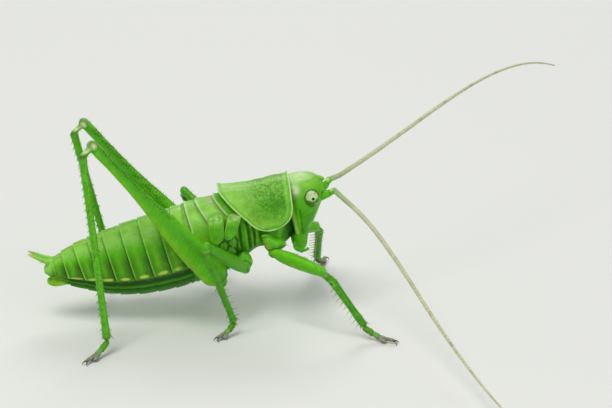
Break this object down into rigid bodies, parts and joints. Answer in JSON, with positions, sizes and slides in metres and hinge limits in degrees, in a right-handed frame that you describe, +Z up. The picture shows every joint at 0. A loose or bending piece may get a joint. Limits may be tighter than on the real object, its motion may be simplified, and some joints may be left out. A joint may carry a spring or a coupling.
{
  "type": "bush-cricket nymph (long-horned grasshopper)",
  "caption": "Green long-horned grasshopper nymph standing in mid stride on six legs: short wing pads, saddle-shaped collar plate, ringed abdomen, folded hind legs and long thread feelers.",
  "frame": {"origin": "on the floor, under the middle of the whole animal's box, feelers included", "axes": "+X forward along the body, +Y to the animal's left, +Z up"},
  "size_m": [0.038, 0.0444, 0.0135],
  "materials": {
    "leaf_green": "satin cuticle, bright yellow-green with paler rims",
    "pale_green": "satin pitted cuticle, pale green with a whitish rim",
    "limb_green": "smooth translucent saturated green with fine dark hairs",
    "eye_cream": "glossy faceted cream and green with a dark pupil spot",
    "feeler_pink": "pinkish grey with fine brown rings",
    "foot_brown": "green turning dark brown at the pads and claws"
  },
  "bodies": {
    "root": {"abdomen": "leaf_green", "cercus_left": "leaf_green", "cercus_right": "leaf_green", "coxa_front_left": "limb_green", "coxa_front_right": "limb_green", "coxa_hind_left": "limb_green", "coxa_hind_right": "limb_green", "coxa_middle_left": "limb_green", "coxa_middle_right": "limb_green", "eye_left": "eye_cream", "eye_right": "eye_cream", "feeler_base_left": "feeler_pink", "feeler_base_right": "feeler_pink", "feeler_middle_left": "feeler_pink", "feeler_middle_right": "feeler_pink", "feeler_tip_left": "feeler_pink", "feeler_tip_right": "feeler_pink", "femur_front_left": "limb_green", "femur_front_right": "limb_green", "femur_hind_left": "limb_green", "femur_hind_right": "limb_green", "femur_middle_left": "limb_green", "femur_middle_right": "limb_green", "fore_wing_pad_left": "pale_green", "fore_wing_pad_right": "pale_green", "head": "leaf_green", "hind_wing_pad_left": "pale_green", "hind_wing_pad_right": "pale_green", "jaws": "limb_green", "palp_left": "limb_green", "palp_right": "limb_green", "pronotum": "pale_green", "scape_left": "limb_green", "scape_right": "limb_green", "tail_plate": "leaf_green", "tarsus_front_left": "foot_brown", "tarsus_front_right": "foot_brown", "tarsus_hind_left": "foot_brown", "tarsus_hind_right": "foot_brown", "tarsus_middle_left": "foot_brown", "tarsus_middle_right": "foot_brown", "thorax": "pale_green", "tibia_front_left": "limb_green", "tibia_front_right": "limb_green", "tibia_hind_left": "limb_green", "tibia_hind_right": "limb_green", "tibia_middle_left": "limb_green", "tibia_middle_right": "limb_green"}
  },
  "joints": []
}
